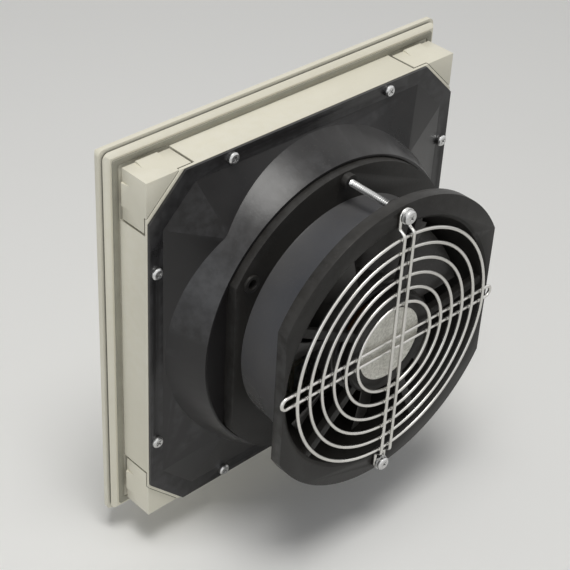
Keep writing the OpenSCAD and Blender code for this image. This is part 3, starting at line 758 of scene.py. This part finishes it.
class Paints:
    """Every finish as a material, by its slot."""

    made: dict[str, bpy.types.Material] = {}

    @classmethod
    def build(cls) -> None:
        """Builds all the finishes."""
        for finish in FINISHES:
            cls.made[finish.slot] = finish.material()

    @classmethod
    def put(cls, obj: bpy.types.Object, slot: str) -> None:
        """Gives an object one finish all over.

        Args:
            obj: A CAD node or a new piece.
            slot: The finish's slot.
        """
        if obj.type == "MESH" and len(obj.material_slots) > 0:
            for place in obj.material_slots:
                place.link = "OBJECT"
                place.material = cls.made[slot]
        else:
            obj.data.materials.append(cls.made[slot])

    @classmethod
    def dress(cls, obj: bpy.types.Object, slot: str, body: str) -> None:
        """Finishes a new piece and puts it on its body.

        Args:
            obj: The new piece.
            slot: The finish's slot.
            body: The body that carries it.
        """
        obj.data.materials.clear()
        obj.data.materials.append(cls.made[slot])
        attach(obj, body)
        log.info("%s: %d faces, %s", obj.name, len(obj.data.polygons), slot)


@dataclass
class Frame:
    """The ivory mouldings that go through the panel, with their gasket and pins.

    Attributes:
        edge: Rounding of the frame's and the cover's edges.
        latch_edge: Rounding of the latches' edges.
        foam_edge: Rounding of the foam strip's edges.
    """

    edge: float = 0.35 * MM
    latch_edge: float = 0.3 * MM
    foam_edge: float = 0.55 * MM

    def build(self) -> None:
        """Builds and dresses the frame's pieces."""
        moulding = Bench.moulded_copy("main_frame", "frame_moulding", self.edge)
        Paints.dress(moulding, "ivory_plastic", "frame")
        cover = Bench.moulded_copy("louvre_cover", "cover_moulding", self.edge)
        Paints.dress(cover, "ivory_plastic", "cover")
        for side in ("top_left", "top_right", "bottom_left", "bottom_right"):
            latch = Bench.moulded_copy(f"latch_{side}", f"latch_moulding_{side}",
                                       self.latch_edge)
            Paints.dress(latch, "ivory_plastic", f"latch_{side}")
        self.gasket()
        Paints.put(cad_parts["support_grid"], "ivory_plastic")
        Paints.put(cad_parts["cover_hinge_pins"], "zinc_steel")

    def gasket(self) -> None:
        """Makes the foam strip, with its rounded, slightly swollen edges."""
        foam = Bench.moulded_copy("panel_gasket", "foam_strip", self.foam_edge, 3)
        Paints.dress(foam, "gasket_foam", "frame")


@dataclass
class FilterPad:
    """The fleece mat in its tray.

    Attributes:
        half: Half of its width.
        front: Depth of its front face.
        rear: Depth of its rear face.
        cells: Grid cells along each side.
        lump: Size of the lumps in the fleece.
        rise: Height of the lumps.
    """

    half: float = 109.6 * MM
    front: float = -12.5 * MM
    rear: float = -3.7 * MM
    cells: int = 110
    lump: float = 0.009
    rise: float = 0.9 * MM

    def build(self) -> None:
        """Builds the mat as a lumpy sheet of its full thickness."""
        Bench.clear()
        middle = (self.front + self.rear) / 2
        bpy.ops.mesh.primitive_grid_add(
            x_subdivisions=self.cells, y_subdivisions=self.cells, size=2 * self.half,
            location=(0.0, middle, 0.0), rotation=Plane.TO_THE_FAN.value)
        mat = Bench.named("fleece_mat")
        Bench.settle(mat)
        Bench.apply(mat, "SOLIDIFY", thickness=self.rear - self.front, offset=0.0)
        Bench.recalculate(mat)
        fleece = bpy.data.textures.new("fleece_lumps", "CLOUDS")
        fleece.noise_scale = self.lump
        fleece.noise_depth = 3
        Bench.apply(mat, "DISPLACE", texture=fleece, strength=self.rise, mid_level=1.0,
                    texture_coords="LOCAL")
        Bench.smooth(mat, 60.0)
        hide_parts("filter_mat")
        Paints.dress(mat, "filter_fleece", "frame")


@dataclass
class Cowl:
    """The black cowl and its eight screws.

    Attributes:
        edge: Rounding of the cowl's edges.
        screw_edge: Rounding of the screw heads' edges.
    """

    edge: float = 0.5 * MM
    screw_edge: float = 0.12 * MM

    def build(self) -> None:
        """Builds and dresses the cowl's pieces."""
        cowl = Bench.moulded_copy("cowl", "cowl_moulding", self.edge, 3, 12.0)
        Paints.dress(cowl, "black_plastic", "frame")
        screws = Bench.moulded_copy("cowl_screws", "rim_screws", self.screw_edge)
        Paints.dress(screws, "zinc_steel", "frame")


@dataclass
class FanHousing:
    """The cast housing with its flanges, struts and terminals.

    Attributes:
        edge: Rounding of the casting's edges.
        block_edge: Rounding of the terminal block's edges.
        tube_from: Depth where the tube leaves the front flange.
        tube_to: Depth where it meets the rear flange.
        tube_in: Least radius of its outside.
        tube_out: Greatest radius of its outside.
        tube_lean: How far a face of it may lean along the axis, at most 1.
    """

    edge: float = 0.4 * MM
    block_edge: float = 0.4 * MM
    tube_from: float = 50.6 * MM
    tube_to: float = 85.4 * MM
    tube_in: float = 69.5 * MM
    tube_out: float = 79.5 * MM
    tube_lean: float = 0.7

    def paint_tube_sheen(self, casting: bpy.types.Object) -> None:
        """Gives the tube between the flanges a lighter, bluish material: painted sheen and
        reflection.

        Args:
            casting: The housing.
        """
        casting.data.materials.append(Paints.made["tube_casting"])
        for face in casting.data.polygons:
            away = math.hypot(face.center.x, face.center.z)
            if (self.tube_from < face.center.y < self.tube_to
                    and self.tube_in < away < self.tube_out and abs(face.normal.y) < self.tube_lean
                    and face.normal.x * face.center.x + face.normal.z * face.center.z > 0):
                face.material_index = 1

    def build(self) -> None:
        """Builds and dresses the housing's pieces."""
        casting = Bench.moulded_copy("fan_housing", "housing_casting", self.edge)
        Paints.dress(casting, "dark_casting", "frame")
        self.paint_tube_sheen(casting)
        block = Bench.moulded_copy("terminal_block", "terminal_moulding", self.block_edge, 3)
        Paints.dress(block, "terminal_plastic", "frame")
        Paints.put(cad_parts["terminal_tabs"], "terminal_brass")


@dataclass
class Motor:
    """The motor's parts, and the bright disc on its base.

    Attributes:
        disc_r: Radius of the disc.
        disc_front: Depth of its hidden face.
        disc_t: Its thickness at the rim.
        rim_w: Width of the raised rim.
        dish: How deep the field inside the rim lies.
        centre_w: Width from the rim to the raised centre.
        disc_edge: Rounding of its edges.
        disc_sides: Number of sides of its outline.
    """

    disc_r: float = 22.4 * MM
    disc_front: float = 91.1 * MM
    disc_t: float = 1.0 * MM
    rim_w: float = 1.3 * MM
    dish: float = 0.35 * MM
    centre_w: float = 13.4 * MM
    disc_edge: float = 0.12 * MM
    disc_sides: int = 160

    def build(self) -> None:
        """Builds the disc and dresses the motor's parts."""
        self.disc()
        for node, slot in (("stator_core", "lamination_steel"),
                           ("stator_windings", "copper_winding"),
                           ("bearing_front", "bearing_steel"),
                           ("bearing_rear", "bearing_steel"),
                           ("preload_spring", "bearing_steel"),
                           ("rotor_shaft", "bearing_steel"),
                           ("shaft_circlip", "bearing_steel"),
                           ("rotor_cage", "cage_aluminium"),
                           ("rotor_can", "rotor_paint")):
            Paints.put(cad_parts[node], slot)

    def disc(self) -> None:
        """Turns the disc: a raised rim, a dished field and a flat centre."""
        Bench.clear()
        bpy.ops.mesh.primitive_cylinder_add(
            vertices=self.disc_sides, radius=self.disc_r, depth=self.disc_t,
            location=(0.0, self.disc_front + self.disc_t / 2, 0.0),
            rotation=Plane.TO_THE_FAN.value)
        disc = Bench.named("bright_disc")
        Bench.settle(disc)
        Bench.select(disc, Part.FACES, lambda face: face.normal.y > 0.9)
        bpy.ops.mesh.inset(thickness=self.rim_w)
        bpy.ops.mesh.inset(thickness=self.dish)
        bpy.ops.transform.translate(value=(0.0, -self.dish, 0.0))
        bpy.ops.mesh.inset(thickness=self.centre_w)
        bpy.ops.mesh.inset(thickness=self.dish)
        bpy.ops.transform.translate(value=(0.0, self.dish / 2, 0.0))
        bpy.ops.object.mode_set(mode="OBJECT")
        Bench.apply(disc, "BEVEL", width=self.disc_edge, segments=2, limit_method="ANGLE",
                    angle_limit=math.radians(25.0))
        Bench.smooth(disc)
        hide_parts("motor_cap")
        Paints.dress(disc, "bright_disc", "frame")


@dataclass
class Impeller:
    """The hub ring with its seven blades.

    Attributes:
        edge: Rounding of the blades' edges.
    """

    edge: float = 0.25 * MM

    def build(self) -> None:
        """Builds and dresses the impeller."""
        blades = Bench.moulded_copy("impeller", "blade_moulding", self.edge, 2, 50.0)
        Bench.smooth(blades, 50.0)
        Paints.dress(blades, "blade_plastic", "rotor")


@dataclass
class Guard:
    """The wire guard, its welds and the two long screws.

    Attributes:
        ring_r: Radius of the outermost ring.
        ring_pitch: Distance from one ring to the next.
        rings: Number of rings.
        wire_off: Distance of each arm's wires from its middle.
        low_weld: Depth of the welds on the lower arm.
        high_weld: Depth of the welds on the upper arm.
        weld_r: Radius of a weld.
        weld_press: How far a weld is pressed wide and flat, along X, Y and Z.
        screw_at: Distance of the long screws from the axis.
        thread_r: Radius of their thread.
        thread_pitch: Distance from turn to turn.
        thread_from: Depth where the bare thread starts.
        thread_turns: Number of turns that show.
        thread_ridge: Half the width of its ridge.
        core_share: Share of the shank's radius that the thread's core keeps.
        core_to: Depth where the bare thread ends.
        core_step: Length of the taper at each end of the core.
        screw_edge: Rounding of the long screws' edges.
        thread_steps: Steps in a turn of the thread.
        slack: How far a corner may lie past a cut that it belongs to.
    """

    ring_r: float = 72.0 * MM
    ring_pitch: float = 8.8 * MM
    rings: int = 6
    wire_off: float = 3.5 * MM
    low_weld: float = 94.58 * MM
    high_weld: float = 96.62 * MM
    weld_r: float = 0.95 * MM
    weld_press: Colour = (1.15, 0.75, 1.15)
    screw_at: float = 84.5 * MM
    thread_r: float = 2.03 * MM
    thread_pitch: float = 1.25 * MM
    thread_from: float = 55.4 * MM
    thread_turns: int = 22
    thread_ridge: float = 0.5 * MM
    core_share: float = 0.74
    core_to: float = 83.4 * MM
    core_step: float = 0.4 * MM
    screw_edge: float = 0.12 * MM
    thread_steps: int = 24
    slack: float = 0.01 * MM

    def build(self) -> None:
        """Builds the welds and threads and dresses the guard."""
        self.welds()
        self.threads()
        Paints.put(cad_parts["guard_rings"], "guard_wire")
        Paints.put(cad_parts["guard_arms"], "guard_wire")
        screws = Bench.moulded_copy("guard_screws", "long_screws", self.screw_edge)
        self.thread_core(screws)
        Paints.dress(screws, "zinc_steel", "frame")
        for node in ("guard_washers", "guard_nuts"):
            Paints.put(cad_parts[node], "zinc_steel")

    def welds(self) -> None:
        """Makes one flattened weld and copies it to every crossing."""
        Bench.clear()
        bpy.ops.mesh.primitive_uv_sphere_add(segments=12, ring_count=8, radius=self.weld_r,
                                             rotation=Plane.TO_THE_FAN.value)
        first = Bench.named("weld")
        Bench.settle(first)
        Bench.pick(first)
        bpy.ops.object.mode_set(mode="EDIT")
        bpy.ops.mesh.select_all(action="SELECT")
        bpy.ops.transform.resize(value=self.weld_press)
        bpy.ops.object.mode_set(mode="OBJECT")
        Bench.smooth(first, 60.0)
        spots = []
        for index in range(self.rings):
            reach = math.sqrt((self.ring_r - index * self.ring_pitch) ** 2 - self.wire_off ** 2)
            for side in (-1, 1):
                for end in (-1, 1):
                    spots.append(Vector((end * reach, self.low_weld, side * self.wire_off)))
                    spots.append(Vector((side * self.wire_off, self.high_weld, end * reach)))
        copies = [first]
        for _ in spots[1:]:
            copies.append(Bench.copy(first))
        for copy, spot in zip(copies, spots):
            copy.data.transform(Matrix.Translation(spot))
        joined = Bench.join(copies, "wire_welds")
        Paints.dress(joined, "guard_wire", "frame")

    def thread_core(self, screws: bpy.types.Object) -> None:
        """Draws the shank in to the thread's core, between the flanges.

        Args:
            screws: Both long screws.
        """
        start = self.thread_from - 0.2 * MM
        levels = (start, start + self.core_step, self.core_to - self.core_step, self.core_to)
        Bench.pick(screws)
        bpy.ops.object.mode_set(mode="EDIT")
        for level in levels:
            bpy.ops.mesh.select_all(action="SELECT")
            bpy.ops.mesh.bisect(plane_co=(0.0, level, 0.0), plane_no=(0.0, 1.0, 0.0))
        bpy.ops.object.mode_set(mode="OBJECT")
        low, high = levels[1] - self.slack, levels[2] + self.slack
        for side in (-1, 1):
            Bench.select(screws, Part.CORNERS,
                         lambda corner: corner.co.z * side > 0 and low < corner.co.y < high)
            middle = (0.0, (low + high) / 2, side * self.screw_at)
            bpy.ops.transform.resize(value=(self.core_share, 1.0, self.core_share),
                                     center_override=middle)
            bpy.ops.object.mode_set(mode="OBJECT")

    def threads(self) -> None:
        """Winds the thread that shows between the flanges, on both screws."""
        Bench.clear()
        ridge = self.thread_ridge
        bpy.ops.mesh.primitive_circle_add(vertices=3, radius=ridge, fill_type="NOTHING",
                                          location=(self.thread_r - ridge, 0.0, 0.0),
                                          rotation=(0.0, 0.0, -math.pi / 2))
        first = Bench.named("thread")
        Bench.settle(first)
        Bench.apply(first, "SCREW", axis="Y", angle=2 * math.pi, steps=self.thread_steps,
                    render_steps=self.thread_steps,
                    screw_offset=self.thread_pitch, iterations=self.thread_turns,
                    use_smooth_shade=True)
        Bench.recalculate(first)
        second = Bench.copy(first)
        for thread, side in ((first, 1), (second, -1)):
            thread.data.transform(Matrix.Translation(
                (0.0, self.thread_from, side * self.screw_at)))
        joined = Bench.join([first, second], "screw_threads")
        Bench.smooth(joined, 30.0)
        Paints.dress(joined, "zinc_steel", "frame")


@dataclass(frozen=True)
class Lamp:
    """A soft square lamp that points at the object.

    Attributes:
        name: Its name.
        place: Where it hangs.
        size: Its width.
        power: Its power in watts.
        tint: Its colour.
    """

    name: str
    place: Colour
    size: float
    power: float
    tint: Colour


LAMPS: list[Lamp] = [
    Lamp("key", (0.24, 0.30, 1.60), 0.7, 16.0, (1.0, 0.99, 0.96)),
    Lamp("side", (1.45, 0.45, 0.35), 0.8, 1.8, (0.88, 0.94, 1.0)),
]


@dataclass
class Studio:
    """Floor, lights and camera.

    Attributes:
        floor_z: Height of the floor, low enough for the cover to swing down.
        target: Where the camera looks.
        azimuth: The camera's place round the object, in degrees.
        elevation: Its height above the horizon, in degrees.
        distance: Its distance from the target.
        roll: Its turn about its own axis, in degrees.
        lens: Its focal length, in millimetres on a sensor 36 mm wide.
        level: Plain level of the world's light.
        sensor: Width of the camera's sensor, in millimetres.
        floor_size: Width of the floor.
        reach: Nearest and farthest distance that the camera sees.
    """

    floor_z: float = -137.5 * MM
    target: Colour = (0.03183, 0.04108, 0.02518)
    azimuth: float = 135.25
    elevation: float = 35.88
    distance: float = 0.84008
    roll: float = 3.29
    lens: float = 97.985
    level: float = 0.28
    sensor: float = 36.0
    floor_size: float = 40.0
    reach: tuple[float, float] = (0.01, 50.0)

    def build(self) -> None:
        """Builds the whole studio."""
        self.floor()
        self.world()
        for lamp in LAMPS:
            self.hang(lamp)
        self.camera()
        bpy.context.scene.view_settings.view_transform = "Standard"

    def floor(self) -> None:
        """Lays a plain pale floor."""
        Bench.clear()
        bpy.ops.mesh.primitive_plane_add(size=self.floor_size, rotation=Plane.UP.value,
                                         location=(0.0, 0.0, self.floor_z))
        floor = Bench.named("floor")
        made = bpy.data.materials.new("pale_floor")
        made.use_nodes = True
        graph = Graph(made.node_tree)
        shader = made.node_tree.nodes["Principled BSDF"]
        vector = graph.node("ShaderNodeTexCoord").outputs["Object"]
        colour = graph.mix(graph.noise(vector, 3.0), (0.90, 0.90, 0.89), (0.93, 0.93, 0.92))
        made.node_tree.links.new(colour, shader.inputs["Base Color"])
        shader.inputs["Roughness"].default_value = 0.9
        floor.data.materials.append(made)

    def world(self) -> None:
        """Sets the plain world, which shows as white to the camera and in reflections."""
        world = bpy.data.worlds.new("studio")
        bpy.context.scene.world = world
        world.use_nodes = True
        graph = Graph(world.node_tree)
        back = world.node_tree.nodes["Background"]
        path = graph.node("ShaderNodeLightPath").outputs
        seen = graph.math("ADD", path["Is Camera Ray"], path["Is Glossy Ray"])
        seen = graph.math("MINIMUM", graph.math("ADD", seen, path["Is Transmission Ray"]), 1.0)
        level = graph.between(seen, 0.0, 1.0, self.level, 1.0)
        back.inputs["Color"].default_value = (1.0, 1.0, 1.0, 1.0)
        world.node_tree.links.new(level, back.inputs["Strength"])

    def hang(self, lamp: Lamp) -> None:
        """Hangs a lamp.

        Args:
            lamp: The lamp.
        """
        data = bpy.data.lights.new(lamp.name, "AREA")
        data.shape = "SQUARE"
        data.size = lamp.size
        data.energy = lamp.power
        data.color = lamp.tint
        hung = bpy.data.objects.new(lamp.name, data)
        bpy.context.scene.collection.objects.link(hung)
        hung.location = lamp.place
        aim = Vector(self.target) - Vector(lamp.place)
        hung.rotation_euler = aim.to_track_quat("-Z", "Y").to_euler()

    def camera(self) -> None:
        """Sets the camera where the photograph's stood."""
        turn, rise, roll = (math.radians(value) for value in
                            (self.azimuth, self.elevation, self.roll))
        back = Vector((math.sin(turn) * math.cos(rise), -math.cos(turn) * math.cos(rise),
                       math.sin(rise)))
        right = (-back).cross(Vector((0.0, 0.0, 1.0))).normalized()
        up = right.cross(-back)
        across = right * math.cos(roll) + up * math.sin(roll)
        upward = up * math.cos(roll) - right * math.sin(roll)
        data = bpy.data.cameras.new("camera")
        data.lens = self.lens
        data.sensor_width = self.sensor
        data.clip_start, data.clip_end = self.reach
        camera = bpy.data.objects.new("camera", data)
        bpy.context.scene.collection.objects.link(camera)
        place = Vector(self.target) + back * self.distance
        turned = Matrix((across, upward, back)).transposed().to_4x4()
        camera.matrix_world = Matrix.Translation(place) @ turned
        bpy.context.scene.camera = camera


def main() -> None:
    """Builds the scene."""
    logging.basicConfig(level=logging.INFO, format="%(message)s")
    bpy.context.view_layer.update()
    Paints.build()
    for assembly in (Frame(), FilterPad(), Cowl(), FanHousing(), Motor(), Impeller(), Guard(),
                     Studio()):
        assembly.build()
        log.info("%s is built", type(assembly).__name__)


if __name__ == "__main__":
    main()
